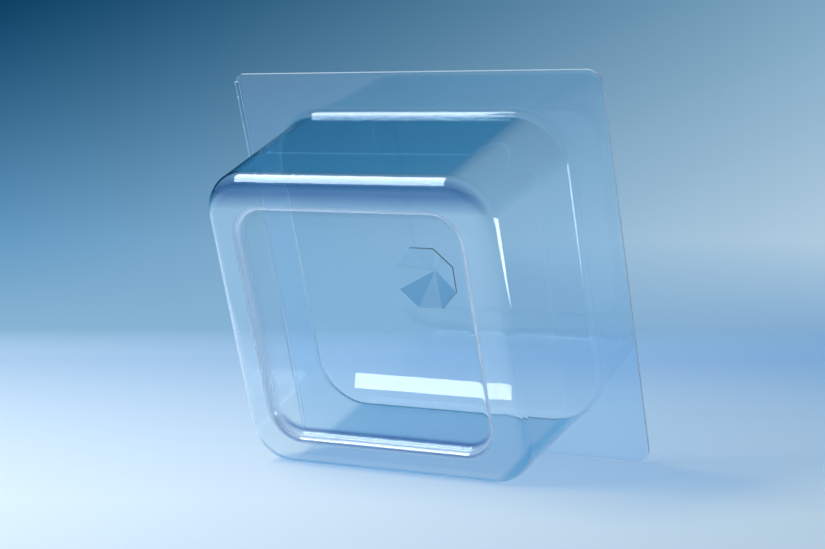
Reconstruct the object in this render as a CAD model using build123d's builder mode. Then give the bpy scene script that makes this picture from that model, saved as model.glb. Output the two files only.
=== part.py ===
from build123d import *

import math
import os

# Clear clamshell pack: a deep square blister with a wide flange and a hinged flat back sheet.
# It stands as it rests on a table, on the flange's lower edge and the lower side of the front rim.
# Millimetres, +Z up, front towards -Y, origin under the middle of the standing pack.

# Sheet
sheet_thickness = 0.5

# Flange and back sheet outline
flange_width = 130.0
flange_height = 130.0
free_corner_radius = 5.0
fold_corner_radius = 2.6

# Blister walls
mouth_width = 102.6
mouth_height = 102.6
mouth_corner_radius = 16.1
mouth_fillet = 2.8
depth = 52.4
draft_angle = 2.6

# Front rim and recessed window
rim_radius = 5.5
rim_width = 11.3
window_corner_radius = 9.0
window_recess = 4.0
window_draft = 12.0
window_edge_radius = 0.6
window_foot_radius = 2.8

# Octagonal dimple in the back sheet
dimple_sides = 8
dimple_turn = 22.5
dimple_across_flats = 21.1
dimple_tip_flats = 0.9
dimple_depth = 6.6
dimple_x = -5.8
dimple_y = -4.7

# Living hinge, a fold rolled into a round bead
fold_radius = 0.7
fold_clearance = 0.2

# Front opening of the walls before they are rounded, and the window inside its rim
draft = math.radians(draft_angle)
recess_draft = math.radians(window_draft)
front_width = mouth_width - 2 * depth * math.tan(draft)
front_height = mouth_height - 2 * depth * math.tan(draft)
window_width = front_width - 2 * rim_width
window_height = front_height - 2 * rim_width

# Rim circle in the pack's middle section, where the front edge rounds into the walls
rim_centre_z = depth - rim_radius
wall_half_at_rim = mouth_height / 2 - rim_centre_z * math.tan(draft)
rim_centre_y = wall_half_at_rim - rim_radius / math.cos(draft)

# Lean at which the flange's lower edge and the rim touch the table together
foot_rise = flange_height / 2 - rim_centre_y
foot_reach = rim_centre_z - sheet_thickness
foot_span = math.hypot(foot_reach, foot_rise)
lean = math.atan2(foot_rise, foot_reach) - math.asin(rim_radius / foot_span)

# Pack plane: X to the right, Y up the flange, Z out of the closed front
stand_height = flange_height / 2 * math.cos(lean) + sheet_thickness * math.sin(lean)
back_reach = flange_height / 2 * math.sin(lean) + sheet_thickness * math.cos(lean)
front_reach = rim_centre_y * math.sin(lean) + rim_centre_z * math.cos(lean) + rim_radius
pack_origin = (0, (front_reach - back_reach) / 2, stand_height)
pack = Plane(origin=pack_origin, x_dir=(1, 0, 0), z_dir=(0, -math.cos(lean), -math.sin(lean)))

# Fold axis, tangent to the left side of the outline, in the plane where the two sheets meet
fold_x = -flange_width / 2 + fold_radius
fold_length = flange_height - 2 * fold_corner_radius
shell_edge_x = fold_x + fold_radius + fold_clearance

# Slope of the dimple's facets, and the plane its open side lies in
dimple_slope = math.atan2(dimple_depth, (dimple_across_flats - dimple_tip_flats) / 2)
dimple_origin = pack.from_local_coords((dimple_x, dimple_y, 0))
dimple_plane = Plane(dimple_origin, x_dir=pack.x_dir, z_dir=pack.z_dir)


def sheet_outline(left_x):
    """A rectangle from left_x to the free edge, tighter at the two fold corners."""
    right_x = flange_width / 2
    top_y = flange_height / 2
    with BuildSketch() as outline:
        with BuildLine():
            FilletPolyline(
                (left_x, -top_y),
                (right_x, -top_y),
                (right_x, top_y),
                (left_x, top_y),
                radius=[fold_corner_radius, free_corner_radius, free_corner_radius, fold_corner_radius],
                close=True,
            )
        make_face()
    return outline.sketch


def blister_form(inset):
    """The blister as a solid block, with every surface moved inwards by inset."""
    wall_inset = inset / math.cos(draft)
    recess_inset = inset / math.cos(recess_draft) - inset * math.tan(recess_draft)
    recess_growth = recess_inset + window_recess * math.tan(recess_draft)
    with BuildPart() as form:
        with BuildSketch(pack):
            RectangleRounded(
                mouth_width - 2 * wall_inset,
                mouth_height - 2 * wall_inset,
                mouth_corner_radius - wall_inset,
            )
        extrude(amount=depth - inset, taper=draft_angle)
        fillet(form.faces().sort_by(front)[-1].edges(), rim_radius - inset)
        with BuildSketch(pack.offset(depth - inset)):
            RectangleRounded(
                window_width + 2 * recess_growth,
                window_height + 2 * recess_growth,
                window_corner_radius + recess_growth,
            )
        extrude(amount=-window_recess, taper=window_draft, mode=Mode.SUBTRACT)
        window = form.faces().filter_by(pack).sort_by(front)[-2]
        fillet(window.edges(), window_foot_radius + inset)
    return form.part


def dimple_form(flats, top):
    """An eight-sided pyramid pointing out of the back, sloping from one sheet behind a straight top."""
    slope_reach = (flats - dimple_tip_flats) / 2
    slope_rise = slope_reach * math.tan(dimple_slope)
    with BuildPart() as form:
        with BuildSketch(dimple_plane.offset(top)):
            RegularPolygon(flats / 2, dimple_sides, major_radius=False, rotation=dimple_turn)
        extrude(amount=-(slope_rise + sheet_thickness))
        tip = form.faces().sort_by(front)[0]
        chamfer(tip.edges(), slope_reach, slope_rise, reference=tip)
    return form.part


# Front shell: blister and flange formed from one sheet
front = Axis(pack.origin, pack.z_dir)
outer_form = blister_form(0)
inner_form = blister_form(sheet_thickness)
with BuildPart() as front_shell:
    add(outer_form)
    with BuildSketch(pack):
        add(sheet_outline(shell_edge_x))
    extrude(amount=sheet_thickness)
    flange_front = front_shell.faces().filter_by(pack).sort_by(front)[1]
    fillet(flange_front.inner_wires()[0].edges(), mouth_fillet)
    add(inner_form, mode=Mode.SUBTRACT)
    flange_back = front_shell.faces().filter_by(pack).sort_by(front)[0]
    fillet(flange_back.inner_wires()[0].edges(), mouth_fillet + sheet_thickness)
    crest = front_shell.faces().filter_by(pack).sort_by(front)[-1]
    fillet(crest.inner_wires()[0].edges(), window_edge_radius)
front_shell.part.label = "front_shell"

# Back lid: flat sheet with the dimple pressed through it and the rolled fold on its left
bent_flats = dimple_across_flats + 2 * sheet_thickness * math.tan(dimple_slope / 2)
fold_base = pack.from_local_coords((fold_x, -fold_length / 2, 0))
with BuildPart() as back_lid:
    with BuildSketch(pack):
        add(sheet_outline(fold_x))
    extrude(amount=-sheet_thickness)
    with BuildSketch(Plane(fold_base, x_dir=pack.x_dir, z_dir=pack.y_dir)):
        Circle(fold_radius)
    extrude(amount=fold_length)
    add(dimple_form(bent_flats, 0))
    add(dimple_form(dimple_across_flats, sheet_thickness), mode=Mode.SUBTRACT)
back_lid.part.label = "back_lid"

os.makedirs("parts", exist_ok=True)
export_step(front_shell.part, "parts/front_shell.step")
export_step(back_lid.part, "parts/back_lid.step")
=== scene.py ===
import math

import bpy
from mathutils import Color, Matrix, Vector


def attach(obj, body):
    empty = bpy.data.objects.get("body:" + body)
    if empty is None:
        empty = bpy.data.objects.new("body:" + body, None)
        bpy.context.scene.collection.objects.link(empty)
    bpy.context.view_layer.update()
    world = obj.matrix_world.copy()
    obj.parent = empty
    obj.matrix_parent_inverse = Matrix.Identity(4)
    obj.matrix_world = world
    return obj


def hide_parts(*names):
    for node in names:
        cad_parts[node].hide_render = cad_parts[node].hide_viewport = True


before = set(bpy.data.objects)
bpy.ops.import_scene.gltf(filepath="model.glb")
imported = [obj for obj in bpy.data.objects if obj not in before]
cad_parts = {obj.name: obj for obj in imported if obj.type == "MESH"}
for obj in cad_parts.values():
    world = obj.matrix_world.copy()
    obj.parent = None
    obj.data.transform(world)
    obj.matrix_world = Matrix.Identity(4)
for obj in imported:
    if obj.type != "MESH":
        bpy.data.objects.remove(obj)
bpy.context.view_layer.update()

# Sizes of the pack in metres, as in the CAD
MM = 0.001
SHEET = 0.5 * MM
FLANGE = 130.0 * MM
FREE_CORNER = 5.0 * MM
FOLD_CORNER = 2.6 * MM
MOUTH = 102.6 * MM
MOUTH_CORNER = 16.1 * MM
MOUTH_FILLET = 2.8 * MM
DEPTH = 52.4 * MM
DRAFT = math.radians(2.6)
RIM_RADIUS = 5.5 * MM
RIM_WIDTH = 11.3 * MM
WINDOW_CORNER = 9.0 * MM
WINDOW_RECESS = 4.0 * MM
WINDOW_DRAFT = math.radians(12.0)
WINDOW_FOOT = 2.8 * MM
FOLD_RADIUS = 0.7 * MM
FOLD_CLEARANCE = 0.2 * MM
WINDOW = MOUTH - 2 * DEPTH * math.tan(DRAFT) - 2 * RIM_WIDTH

# Shown, but too fine for the CAD: a softer edge round the window, and the air between flange and lid
WINDOW_EDGE = 1.8 * MM
AIR_GAP = 0.04 * MM

# Standing pose of the pack: the same lean as the CAD
RIM_Z = DEPTH - RIM_RADIUS
RIM_HALF = MOUTH / 2 - RIM_Z * math.tan(DRAFT) - RIM_RADIUS / math.cos(DRAFT)
FOOT_RISE = FLANGE / 2 - RIM_HALF
FOOT_REACH = RIM_Z - SHEET
FOOT_SPAN = math.hypot(FOOT_REACH, FOOT_RISE)
LEAN = math.atan2(FOOT_RISE, FOOT_REACH) - math.asin(RIM_RADIUS / FOOT_SPAN)
STAND = FLANGE / 2 * math.cos(LEAN) + SHEET * math.sin(LEAN)
BACK_REACH = FLANGE / 2 * math.sin(LEAN) + SHEET * math.cos(LEAN)
FRONT_REACH = RIM_HALF * math.sin(LEAN) + RIM_Z * math.cos(LEAN) + RIM_RADIUS
PACK_ORIGIN = Vector((0.0, (FRONT_REACH - BACK_REACH) / 2, STAND))
PACK_X = Vector((1.0, 0.0, 0.0))
PACK_Y = Vector((0.0, -math.sin(LEAN), math.cos(LEAN)))
PACK_Z = Vector((0.0, -math.cos(LEAN), -math.sin(LEAN)))
UPRIGHT = Vector((0.0, 0.0, 1.0))

# Fineness of the shell's mesh
CORNER_STEPS = 32
FILLET_STEPS = 14
WALL_ROWS = 10

# Material slots of the shell
CUT_SLOT = 1
RECESS_SLOT = 2


def pack_point(x, y, z):
    return PACK_ORIGIN + x * PACK_X + y * PACK_Y + z * PACK_Z


def pack_direction(x, y, z):
    return x * PACK_X + y * PACK_Y + z * PACK_Z


def section_points():
    """Section through the formed sheet on its outer side, from the flange to the window.

    Each point is the half width of its ring, the corner centre of its ring, its height and its normal.
    """
    points = []
    outer_centre = MOUTH / 2 - MOUTH_CORNER
    window_floor = DEPTH - WINDOW_RECESS
    window_centre = WINDOW / 2 - WINDOW_CORNER

    def arc(centre_half, centre_z, radius, start, end, corner_centre, bulge):
        for step in range(FILLET_STEPS + 1):
            angle = start + (end - start) * step / FILLET_STEPS
            out = math.cos(angle)
            up = math.sin(angle)
            half = centre_half + bulge * radius * out
            z = centre_z + bulge * radius * up
            points.append((half, corner_centre, z, out, up))

    def wall(start, end_half, end_z):
        half, corner_centre, z, out, up = start
        for row in range(1, WALL_ROWS):
            share = row / WALL_ROWS
            row_half = half + (end_half - half) * share
            row_z = z + (end_z - z) * share
            points.append((row_half, corner_centre, row_z, out, up))

    wall_angle = DRAFT
    front_angle = math.pi / 2
    recess_angle = math.pi - WINDOW_DRAFT

    mouth_z = SHEET + MOUTH_FILLET
    mouth_half = MOUTH / 2 - mouth_z * math.tan(DRAFT) + MOUTH_FILLET / math.cos(DRAFT)
    arc(mouth_half, mouth_z, MOUTH_FILLET, front_angle, wall_angle, outer_centre, -1)
    wall(points[-1], RIM_HALF + RIM_RADIUS * math.cos(DRAFT), RIM_Z + RIM_RADIUS * math.sin(DRAFT))
    arc(RIM_HALF, RIM_Z, RIM_RADIUS, wall_angle, front_angle, outer_centre, 1)

    edge_z = DEPTH - WINDOW_EDGE
    edge_growth = (edge_z - window_floor) * math.tan(WINDOW_DRAFT)
    edge_half = WINDOW / 2 + edge_growth + WINDOW_EDGE / math.cos(WINDOW_DRAFT)
    arc(edge_half, edge_z, WINDOW_EDGE, front_angle, recess_angle, window_centre, 1)

    foot_z = window_floor + WINDOW_FOOT
    foot_half = WINDOW / 2 + WINDOW_FOOT * math.tan(WINDOW_DRAFT) - WINDOW_FOOT / math.cos(WINDOW_DRAFT)
    arc(foot_half, foot_z, WINDOW_FOOT, recess_angle, front_angle, window_centre, -1)
    return points


def rounded_ring(half_x_low, half_x_high, half_y, radii, z):
    """Points round a rectangle with its own radius at each corner, and the outward direction at each."""
    corners = (
        (half_x_high, half_y),
        (-half_x_low, half_y),
        (-half_x_low, -half_y),
        (half_x_high, -half_y),
    )
    ring = []
    for quarter, ((x, y), radius) in enumerate(zip(corners, radii)):
        centre_x = x - math.copysign(radius, x)
        centre_y = y - math.copysign(radius, y)
        for step in range(CORNER_STEPS + 1):
            angle = (quarter + step / CORNER_STEPS) * math.pi / 2
            out_x = math.cos(angle)
            out_y = math.sin(angle)
            ring.append((centre_x + radius * out_x, centre_y + radius * out_y, z, out_x, out_y))
    return ring


def build_shell():
    """The front shell as one closed sheet with exact normals."""
    verts = []
    faces = []
    normals = []

    def add_ring(ring, out, up):
        first = len(verts)
        for x, y, z, out_x, out_y in ring:
            verts.append(pack_point(x, y, z))
            normals.append(pack_direction(out * out_x, out * out_y, up).normalized())
        return list(range(first, len(verts)))

    def add_face(corners, flip):
        faces.append(tuple(reversed(corners)) if flip else tuple(corners))

    def add_strip(lower, crest_top_shade, flip):
        count = len(lower)
        for i in range(count):
            j = (i + 1) % count
            add_face((lower[i], lower[j], crest_top_shade[j], crest_top_shade[i]), flip)

    left = FLANGE / 2 - 2 * FOLD_RADIUS - FOLD_CLEARANCE
    right = FLANGE / 2
    radii = (FREE_CORNER, FOLD_CORNER, FOLD_CORNER, FREE_CORNER)

    def flange_ring(z):
        return rounded_ring(left, right, FLANGE / 2, radii, z)

    # Both sides of the sheet, from the flange's outline to the window
    section = section_points()
    recess_start = len(section) - 2 * (FILLET_STEPS + 1)
    recess_faces = []
    for inner in (False, True):
        shift = SHEET - AIR_GAP if inner else 0.0
        sign = -1.0 if inner else 1.0
        rings = [add_ring(flange_ring(SHEET - shift), 0.0, sign)]
        for half, centre, z, out, up in section:
            ring_half = half - shift * out
            radius = ring_half - centre
            ring = rounded_ring(ring_half, ring_half, ring_half, (radius,) * 4, z - shift * up)
            rings.append(add_ring(ring, sign * out, sign * up))
        for index, (lower, crest_top_shade) in enumerate(zip(rings, rings[1:])):
            first_face = len(faces)
            add_strip(lower, crest_top_shade, inner)
            if index > recess_start:
                recess_faces.extend(range(first_face, len(faces)))
        recess_faces.append(len(faces))
        add_face(rings[-1], inner)

    # The cut edge of the flange
    cut_start = len(faces)
    front_edge = add_ring(flange_ring(SHEET), 1.0, 0.0)
    back_edge = add_ring(flange_ring(AIR_GAP), 1.0, 0.0)
    add_strip(back_edge, front_edge, False)

    mesh = bpy.data.meshes.new("clear_shell")
    mesh.from_pydata(verts, [], faces)
    mesh.update()
    mesh.shade_smooth()
    mesh.normals_split_custom_set_from_vertices(normals)
    for polygon in mesh.polygons[cut_start:]:
        polygon.material_index = CUT_SLOT
    for index in recess_faces:
        mesh.polygons[index].material_index = RECESS_SLOT
    shell = bpy.data.objects.new("clear_shell", mesh)
    bpy.context.scene.collection.objects.link(shell)
    return shell


# Colours are written in 0 to 255, as they look on a screen
COLOUR_FULL = 255
SCREEN_GAMMA = 2.2

# Sockets of a Mix node that hold its two colours and the colour between them
MIX_FIRST = 6
MIX_SECOND = 7
MIX_RESULT = 2


def encoded(red, green, blue):
    """A colour as shader values that are still screen values."""
    return (red / COLOUR_FULL, green / COLOUR_FULL, blue / COLOUR_FULL, 1.0)


def srgb(red, green, blue):
    """A colour as linear shader values."""
    return (*Color(encoded(red, green, blue)[:3]).from_srgb_to_scene_linear(), 1.0)


class Paint:
    """A new material, with short ways to add and join its nodes."""

    def __init__(self, name):
        self.material = bpy.data.materials.new(name)
        self.material.use_nodes = True
        self.tree = self.material.node_tree
        self.tree.nodes.clear()
        place = self.node("ShaderNodeTexCoord")
        self.point = place.outputs["Object"]
        self.normal = place.outputs["Normal"]
        self.path = self.node("ShaderNodeLightPath").outputs

    def node(self, kind):
        return self.tree.nodes.new(kind)

    def put(self, socket, value):
        """Joins the socket to another node's output, or sets it to a plain value."""
        if isinstance(value, bpy.types.NodeSocket):
            self.tree.links.new(value, socket)
        else:
            socket.default_value = value

    def combine(self, operation, first, second=0.0):
        node = self.node("ShaderNodeMath")
        node.operation = operation
        self.put(node.inputs[0], first)
        self.put(node.inputs[1], second)
        return node.outputs["Value"]

    def product(self, first, *others):
        result = first
        for other in others:
            result = self.combine("MULTIPLY", result, other)
        return result

    def size(self, source):
        return self.combine("ABSOLUTE", source)

    def along(self, vector, direction):
        """How far a point or a normal reaches in a direction."""
        node = self.node("ShaderNodeVectorMath")
        node.operation = "DOT_PRODUCT"
        self.put(node.inputs[0], vector)
        self.put(node.inputs[1], direction)
        return node.outputs["Value"]

    def pack_along(self, direction):
        """How far a point lies from the pack's origin in a direction."""
        return self.combine("SUBTRACT", self.along(self.point, direction), PACK_ORIGIN.dot(direction))

    def ramp(self, source, low, high, first=0.0, last=1.0):
        """Goes from first to last while the source goes from low to high, and stays there."""
        node = self.node("ShaderNodeMapRange")
        self.put(node.inputs["Value"], source)
        self.put(node.inputs["From Min"], low)
        self.put(node.inputs["From Max"], high)
        self.put(node.inputs["To Min"], first)
        self.put(node.inputs["To Max"], last)
        return node.outputs["Result"]

    def blend(self, factor, first, second):
        """A colour between two colours."""
        node = self.node("ShaderNodeMix")
        node.data_type = "RGBA"
        self.put(node.inputs["Factor"], factor)
        self.put(node.inputs[MIX_FIRST], first)
        self.put(node.inputs[MIX_SECOND], second)
        return node.outputs[MIX_RESULT]

    def linear(self, colour):
        """Screen values as linear values."""
        node = self.node("ShaderNodeGamma")
        self.put(node.inputs["Color"], colour)
        self.put(node.inputs["Gamma"], SCREEN_GAMMA)
        return node.outputs["Color"]

    def shader(self, kind, colour):
        node = self.node(kind)
        self.put(node.inputs["Color"], colour)
        return node.outputs[0]

    def mix(self, factor, first, second):
        """A shader between two shaders."""
        node = self.node("ShaderNodeMixShader")
        self.put(node.inputs["Fac"], factor)
        self.put(node.inputs[1], first)
        self.put(node.inputs[2], second)
        return node.outputs["Shader"]

    def done(self, surface):
        output = self.node("ShaderNodeOutputMaterial")
        self.put(output.inputs["Surface"], surface)
        return self.material


# Looks of both sheets: forming waves, painted shade where a sheet faces up and is seen at a low angle, and
# tint of light straight through
WAVE_STRENGTH = 0.004
WAVE_DETAIL = 1.5
SMOOTHEST = 0.01
ROUGHEST = 0.03
GRAZING_SHADE_COLOUR = (89, 188, 227)
GRAZING_START = 0.52
GRAZING_FULL = 0.66
ABOVE_START = 0.15
ABOVE_FULL = 0.75
SHADOW_TINT = (242, 247, 252)

# Looks of the shell: painted shade makes the front rim darker on its upward slopes and near its top; the
# rim is glossier below the top
SHELL_COLOUR = (249, 253, 255)
SHELL_GLOSS = (220, 241, 255)
SHELL_SLOPE_SHADE = {"low": 0.15, "middle": 0.50, "high": 0.85, "colour": (62, 134, 192), "share": 0.8}
SHELL_WAVES = 40.0
SHELL_IOR = 1.34
CREST_IOR = 2.0
CREST_TURN_START = 0.45
CREST_TURN_FULL = 0.82
CREST_FOOT = DEPTH - 3.0 * MM
CREST_FULL = DEPTH - 1.0 * MM
FRONT_START = DEPTH / 3
FRONT_FULL = DEPTH / 2
TOP_START = 38.5 * MM
TOP_FULL = 44.0 * MM
TOP_SHADE_SHARE = 0.65

# Haze on the edge of the window
HAZE_COLOUR = (226, 238, 250)
HAZE_SHARE = 0.55
HAZE_FULL = DEPTH - 0.9 * MM
HAZE_BACKLIT = 0.5

# Looks of the lid: its gloss grows towards the foot, and painted shade darkens the dimple's facets by their
# slope
LID_COLOUR = (234, 246, 254)
LID_GLOSS = (236, 246, 255)
LID_SLOPE_SHADE = {"low": 0.10, "middle": 0.38, "high": 0.64, "colour": (89, 188, 227), "share": 0.5}
LID_WAVES = 25.0
LID_TOP = 30.0 * MM
LID_FOOT = -35.0 * MM
LID_TOP_IOR = 1.30
LID_FOOT_IOR = 1.56

# Frosted cut edges with a faint painted glow, found on the lid by their normals and their distance from its
# middle
EDGE_COLOUR = (206, 226, 240)
EDGE_ROUGHNESS = 0.35
EDGE_CLEAR = 0.35
EDGE_PAINTED_GLOW = 0.15
EDGE_NORMAL = 0.15
EDGE_REACH = 50.0 * MM


def frosted_edge(paint):
    """The sheet's cut edge, a pale scattering line with a faint painted glow."""
    edge = paint.node("ShaderNodeBsdfPrincipled")
    edge.inputs["Base Color"].default_value = srgb(*EDGE_COLOUR)
    edge.inputs["Roughness"].default_value = EDGE_ROUGHNESS
    edge.inputs["IOR"].default_value = SHELL_IOR
    edge.inputs["Transmission Weight"].default_value = EDGE_CLEAR
    # Painted glow along the cut edge
    edge.inputs["Emission Color"].default_value = srgb(*EDGE_COLOUR)
    edge.inputs["Emission Strength"].default_value = EDGE_PAINTED_GLOW
    return edge.outputs["BSDF"]


def slope_shade_share(paint, slope):
    """Share of a slope's painted shade, most where the normal points up the pack by the slope's middle
    value.
    """
    upward = paint.along(paint.normal, PACK_Y)
    rising = paint.ramp(upward, slope["low"], slope["middle"])
    falling = paint.ramp(upward, slope["high"], slope["middle"])
    return paint.product(rising, falling, slope["share"])


def shade_painted_colour(paint, colour, painted_shade_share, slope_shade_colour):
    """The sheet's colour with painted shade: darker on its slopes and where it faces up and is seen at a
    low angle.
    """
    facing = paint.node("ShaderNodeLayerWeight").outputs["Facing"]
    # Painted shade: walls that face up are darkened where they are seen at a low angle
    grazing = paint.ramp(facing, GRAZING_START, GRAZING_FULL)
    above = paint.ramp(paint.along(paint.normal, PACK_Y), ABOVE_START, ABOVE_FULL)
    sloped = paint.blend(painted_shade_share, srgb(*colour), srgb(*slope_shade_colour))
    return paint.blend(paint.product(grazing, above), sloped, srgb(*GRAZING_SHADE_COLOUR))


def clear_plastic(paint, colour, gloss, density, wave_scale):
    """Clear glossy plastic with faint forming waves."""
    plastic = paint.node("ShaderNodeBsdfPrincipled")
    plastic.inputs["Transmission Weight"].default_value = 1.0
    plastic.inputs["Specular Tint"].default_value = srgb(*gloss)
    paint.put(plastic.inputs["Base Color"], colour)
    paint.put(plastic.inputs["IOR"], density)
    noise = paint.node("ShaderNodeTexNoise")
    noise.inputs["Scale"].default_value = wave_scale
    noise.inputs["Detail"].default_value = WAVE_DETAIL
    paint.put(noise.inputs["Vector"], paint.point)
    wave = noise.outputs["Fac"]
    bump = paint.node("ShaderNodeBump")
    bump.inputs["Strength"].default_value = WAVE_STRENGTH
    bump.inputs["Distance"].default_value = MM
    paint.put(bump.inputs["Height"], wave)
    paint.put(plastic.inputs["Roughness"], paint.ramp(wave, 0.0, 1.0, SMOOTHEST, ROUGHEST))
    paint.put(plastic.inputs["Normal"], bump.outputs["Normal"])
    return plastic.outputs["BSDF"]


def hazy(paint, surface, height):
    """Adds a soft scattering to the edge of the window, none on the crest and on the window's floor."""
    rise = paint.ramp(height, DEPTH, HAZE_FULL)
    fall = paint.ramp(height, DEPTH - WINDOW_RECESS, HAZE_FULL)
    front_lit = paint.shader("ShaderNodeBsdfDiffuse", srgb(*HAZE_COLOUR))
    back_lit = paint.shader("ShaderNodeBsdfTranslucent", srgb(*HAZE_COLOUR))
    scatter = paint.mix(HAZE_BACKLIT, front_lit, back_lit)
    return paint.mix(paint.product(rise, fall, HAZE_SHARE), surface, scatter)


def unbent(paint, surface):
    """Lets shadow rays and diffuse rays go straight through the sheet, with a slight tint."""
    straight = paint.combine("MAXIMUM", paint.path["Is Shadow Ray"], paint.path["Is Diffuse Ray"])
    return paint.mix(straight, surface, paint.shader("ShaderNodeBsdfTransparent", srgb(*SHADOW_TINT)))


def shell_material(name, recess=False):
    """The shell's clear sheet, glossier on the rim's crest, or the hazy part in the window's recess; both
    carry painted shade on the rim's upward slopes and top.
    """
    paint = Paint(name)
    height = paint.pack_along(PACK_Z)
    rise = paint.pack_along(PACK_Y)
    frontal = paint.size(paint.along(paint.normal, PACK_Z))
    turned = paint.ramp(frontal, CREST_TURN_START, CREST_TURN_FULL)
    crest = paint.product(turned, paint.ramp(height, FRONT_START, FRONT_FULL))
    # Painted shade: the rim is darkened near the top of its crest and on its upward slopes
    crest_top_shade = paint.product(paint.ramp(rise, TOP_START, TOP_FULL), crest, TOP_SHADE_SHARE)
    rim_slope_shade = paint.product(slope_shade_share(paint, SHELL_SLOPE_SHADE), crest)
    painted_shade_share = paint.combine("MAXIMUM", rim_slope_shade, crest_top_shade)
    colour = shade_painted_colour(paint, SHELL_COLOUR, painted_shade_share, SHELL_SLOPE_SHADE["colour"])
    if recess:
        density = paint.ramp(height, CREST_FOOT, CREST_FULL, SHELL_IOR, CREST_IOR)
    else:
        glossy = paint.product(crest, paint.ramp(rise, TOP_FULL, TOP_START))
        density = paint.ramp(glossy, 0.0, 1.0, SHELL_IOR, CREST_IOR)
    surface = clear_plastic(paint, colour, SHELL_GLOSS, density, SHELL_WAVES)
    if recess:
        surface = hazy(paint, surface, height)
    return paint.done(unbent(paint, surface))


def edge_material():
    paint = Paint("cut_edge")
    return paint.done(frosted_edge(paint))


def lid_material():
    """The lid's clear sheet, glossier towards its foot, with painted shade on the dimple's facets and a
    faint painted glow on its frosted cut edges.
    """
    paint = Paint("clear_lid")
    rise = paint.pack_along(PACK_Y)
    # Painted shade darkens the dimple's facets by their slope
    colour = shade_painted_colour(paint, LID_COLOUR, slope_shade_share(paint, LID_SLOPE_SHADE), LID_SLOPE_SHADE["colour"])
    density = paint.ramp(rise, LID_TOP, LID_FOOT, LID_TOP_IOR, LID_FOOT_IOR)
    surface = clear_plastic(paint, colour, LID_GLOSS, density, LID_WAVES)
    frontal = paint.size(paint.along(paint.normal, PACK_Z))
    across = paint.combine("LESS_THAN", frontal, EDGE_NORMAL)
    reach = paint.combine("MAXIMUM", paint.size(paint.pack_along(PACK_X)), paint.size(rise))
    outer = paint.combine("GREATER_THAN", reach, EDGE_REACH)
    surface = paint.mix(paint.product(across, outer), surface, frosted_edge(paint))
    return paint.done(unbent(paint, surface))


# Pieces
shell = build_shell()
shell.data.materials.append(shell_material("clear_shell"))
shell.data.materials.append(edge_material())
shell.data.materials.append(shell_material("clear_recess", recess=True))
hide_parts("front_shell")
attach(shell, "shell")

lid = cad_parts["back_lid"]
lid.data.materials.clear()
lid.data.materials.append(lid_material())
lid.data.shade_flat()

# Camera
CAMERA_AT = Vector((0.28349, -0.50576, 0.11034))
CAMERA_FORWARD = Vector((-0.48444, 0.87064, -0.08545))
CAMERA_RIGHT = Vector((0.87388, 0.48614, -0.00103))
CAMERA_LENS = 81.53
CAMERA_SENSOR = 36.0
CAMERA_NEAREST = 0.01
camera_data = bpy.data.cameras.new("camera")
camera_data.lens = CAMERA_LENS
camera_data.sensor_width = CAMERA_SENSOR
camera_data.clip_start = CAMERA_NEAREST
camera = bpy.data.objects.new("camera", camera_data)
bpy.context.scene.collection.objects.link(camera)
forward = CAMERA_FORWARD.normalized()
right = (CAMERA_RIGHT - CAMERA_RIGHT.dot(forward) * forward).normalized()
up = right.cross(forward)
turn = Matrix((right, up, -forward)).transposed()
camera.matrix_world = Matrix.Translation(CAMERA_AT) @ turn.to_4x4()
bpy.context.scene.camera = camera

# Floor and backdrop: one sweep that runs away from the camera and turns up behind the pack
SWEEP_FORWARD = Vector((-0.485, 0.8745, 0.0)).normalized()
SWEEP_RIGHT = Vector((0.8745, 0.485, 0.0)).normalized()
SWEEP_NEAR = -2.0
SWEEP_BEHIND = 2.5
SWEEP_TURN = 0.26
SWEEP_RADIUS = 0.10
SWEEP_TOP = 1.5
SWEEP_HALF_WIDTH = 2.5
TURN_STEPS = 16


def sweep_profile():
    """The floor, the turn and the wall as points of forward distance and height."""
    line = [(SWEEP_NEAR, 0.0)]
    for step in range(TURN_STEPS + 1):
        angle = step / TURN_STEPS * math.pi / 2
        line.append((SWEEP_TURN + SWEEP_RADIUS * math.sin(angle), SWEEP_RADIUS * (1 - math.cos(angle))))
    line.append((SWEEP_TURN + SWEEP_RADIUS, SWEEP_TOP))
    return line


def build_sweep():
    """The sweep, and a plain floor behind its wall for views from the back."""
    verts = []
    faces = []
    for line in (sweep_profile(), [(SWEEP_TURN, 0.0), (SWEEP_BEHIND, 0.0)]):
        first = len(verts)
        for distance, height in line:
            for side in (-SWEEP_HALF_WIDTH, SWEEP_HALF_WIDTH):
                verts.append(SWEEP_FORWARD * distance + SWEEP_RIGHT * side + UPRIGHT * height)
        for i in range(first, len(verts) - 2, 2):
            faces.append((i, i + 1, i + 3, i + 2))
    mesh = bpy.data.meshes.new("sweep")
    mesh.from_pydata(verts, [], faces)
    mesh.update()
    mesh.shade_smooth()
    sweep = bpy.data.objects.new("sweep", mesh)
    bpy.context.scene.collection.objects.link(sweep)
    return sweep


# Studio gradient: colours at the left and right of the view, heights on the wall and distances on the
# floor; the blue is the backdrop's own, while its darkening towards the top and the left, its paler middle
# on the right and the floor's paler front are painted light and shade
BACKDROP_LEFT = {"foot": (140, 183, 214), "middle": (101, 153, 193), "top": (18, 64, 97)}
BACKDROP_RIGHT = {"foot": (126, 168, 206), "middle": (174, 202, 223), "top": (125, 166, 194)}
BACKDROP_FAR = (6, 28, 50)
FLOOR_LEFT = {"back": (163, 189, 210), "front": (223, 238, 251)}
FLOOR_RIGHT = {"back": (157, 203, 243), "front": (216, 243, 255)}
FOOT_HEIGHT = 0.004
MIDDLE_HEIGHT = 0.048
TOP_HEIGHT = 0.169
FAR_HEIGHT = 0.55
GRADIENT_HALF_WIDTH = 0.21
FLOOR_BACK = 0.26
FLOOR_FRONT = -0.05
WALL_FULL = 0.009


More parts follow.
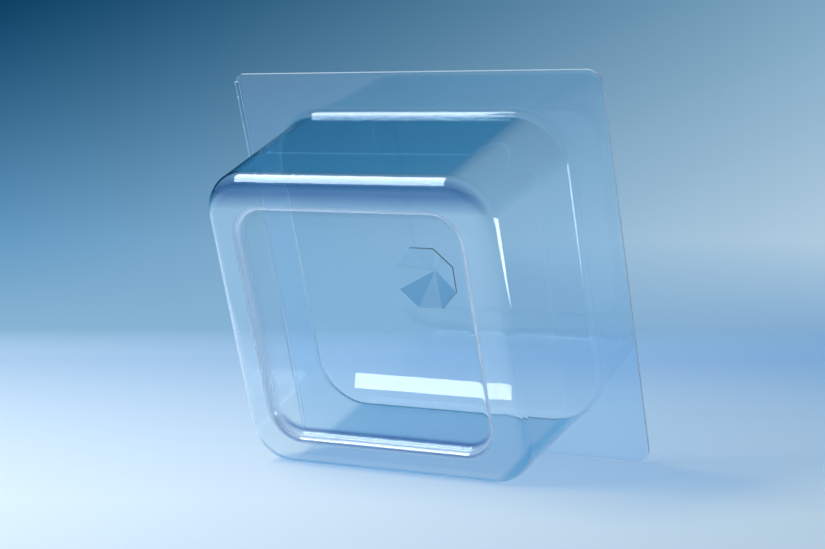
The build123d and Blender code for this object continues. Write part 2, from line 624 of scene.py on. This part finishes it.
def sweep_material():
    """A floor that takes light and shadow, with painted light in its colours, and a wall whose soft
    gradient is painted light and shade.
    """
    paint = Paint("sweep")
    height = paint.along(paint.point, UPRIGHT)
    side = paint.ramp(paint.along(paint.point, SWEEP_RIGHT), -GRADIENT_HALF_WIDTH, GRADIENT_HALF_WIDTH)

    # Wall
    # Painted light and shade on the backdrop: darker towards the top and on the left, paler in the middle
    # on the right
    low_rise = paint.ramp(height, FOOT_HEIGHT, MIDDLE_HEIGHT)
    high_rise = paint.ramp(height, MIDDLE_HEIGHT, TOP_HEIGHT)
    far_rise = paint.ramp(height, TOP_HEIGHT, FAR_HEIGHT)
    wall_columns = []
    for column in (BACKDROP_LEFT, BACKDROP_RIGHT):
        lower = paint.blend(low_rise, encoded(*column["foot"]), encoded(*column["middle"]))
        wall_columns.append(paint.blend(high_rise, lower, encoded(*column["top"])))
    near = paint.blend(side, *wall_columns)
    wall_colour = paint.linear(paint.blend(far_rise, near, encoded(*BACKDROP_FAR)))
    seen = paint.path["Is Camera Ray"]
    for ray in ("Is Glossy Ray", "Is Transmission Ray"):
        seen = paint.combine("MAXIMUM", seen, paint.path[ray])
    wall_lit = paint.shader("ShaderNodeBsdfDiffuse", wall_colour)
    wall_shown = paint.shader("ShaderNodeEmission", wall_colour)
    wall = paint.mix(seen, wall_lit, wall_shown)

    # Floor
    # Painted light on the floor: its colour is paler towards the front
    nearness = paint.ramp(paint.along(paint.point, SWEEP_FORWARD), FLOOR_BACK, FLOOR_FRONT)
    floor_columns = []
    for column in (FLOOR_LEFT, FLOOR_RIGHT):
        floor_columns.append(paint.blend(nearness, encoded(*column["back"]), encoded(*column["front"])))
    floor_colour = paint.linear(paint.blend(side, *floor_columns))
    floor = paint.shader("ShaderNodeBsdfDiffuse", floor_colour)

    # From behind the wall is clear, so that the pack's back can be seen
    opaque = paint.mix(paint.ramp(height, 0.0, WALL_FULL), floor, wall)
    behind = paint.node("ShaderNodeNewGeometry").outputs["Backfacing"]
    clear = paint.node("ShaderNodeBsdfTransparent").outputs["BSDF"]
    return paint.done(paint.mix(behind, opaque, clear))


sweep = build_sweep()
sweep.data.materials.append(sweep_material())


def add_light(name, centre, width_axis, height_axis, width, height, radiance):
    """A rectangle of plain white light of the given radiance, shining against the cross of its two axes."""
    data = bpy.data.lights.new(name, "AREA")
    data.shape = "RECTANGLE"
    data.size = width
    data.size_y = height
    data.energy = radiance * math.pi * width * height
    light = bpy.data.objects.new(name, data)
    bpy.context.scene.collection.objects.link(light)
    x_axis = width_axis.normalized()
    y_axis = (height_axis - height_axis.dot(x_axis) * x_axis).normalized()
    turn = Matrix((x_axis, y_axis, x_axis.cross(y_axis))).transposed()
    light.matrix_world = Matrix.Translation(centre) @ turn.to_4x4()
    return light


# Key: a long softbox on the front left, over the pack
KEY_LOW = Vector((-0.495, -0.714, 0.615))
KEY_TOP = Vector((-0.495, 0.058, 0.938))
KEY_WIDTH = 0.29
KEY_RADIANCE = 16.5
key_rise = KEY_TOP - KEY_LOW
add_light("key", (KEY_LOW + KEY_TOP) / 2, PACK_X, key_rise, KEY_WIDTH, key_rise.length, KEY_RADIANCE)

# Small strip inside by the lower wall, seen only mirrored; its grid leaves the radiance ahead as it is
STRIP_AT = pack_point(-0.0130, -0.0462, 0.0047)
STRIP_FACING = pack_direction(0.0, 0.469, -0.883)
STRIP_WIDTH = 0.060
STRIP_HEIGHT = 0.0052
STRIP_RADIANCE = 130.0
STRIP_GRID = math.radians(45.0)
strip_rise = PACK_X.cross(STRIP_FACING)
strip = add_light("strip", STRIP_AT, PACK_X, strip_rise, STRIP_WIDTH, STRIP_HEIGHT, STRIP_RADIANCE)
strip.data.spread = 2 * STRIP_GRID
strip.data.energy *= 1 - STRIP_GRID / math.tan(STRIP_GRID)
strip.visible_camera = False
strip.visible_diffuse = False
strip.visible_transmission = False

# Low panel on the right, behind the pack
PANEL_LEFT = Vector((0.25, 0.26, 0.040))
PANEL_RIGHT = Vector((0.36, 0.06, 0.040))
PANEL_HEIGHT = 0.064
PANEL_RADIANCE = 10.0
panel_across = PANEL_LEFT - PANEL_RIGHT
panel_middle = (PANEL_LEFT + PANEL_RIGHT) / 2
panel = add_light(
    "panel", panel_middle, panel_across, UPRIGHT, panel_across.length, PANEL_HEIGHT, PANEL_RADIANCE
)
panel.visible_diffuse = False

# World: a dark blue room
WORLD_COLOUR = (34, 74, 110)
WORLD_STRENGTH = 1.0
world = bpy.data.worlds.new("studio")
world.use_nodes = True
background = world.node_tree.nodes["Background"]
background.inputs["Color"].default_value = srgb(*WORLD_COLOUR)
background.inputs["Strength"].default_value = WORLD_STRENGTH
bpy.context.scene.world = world

bpy.context.scene.view_settings.view_transform = "Standard"
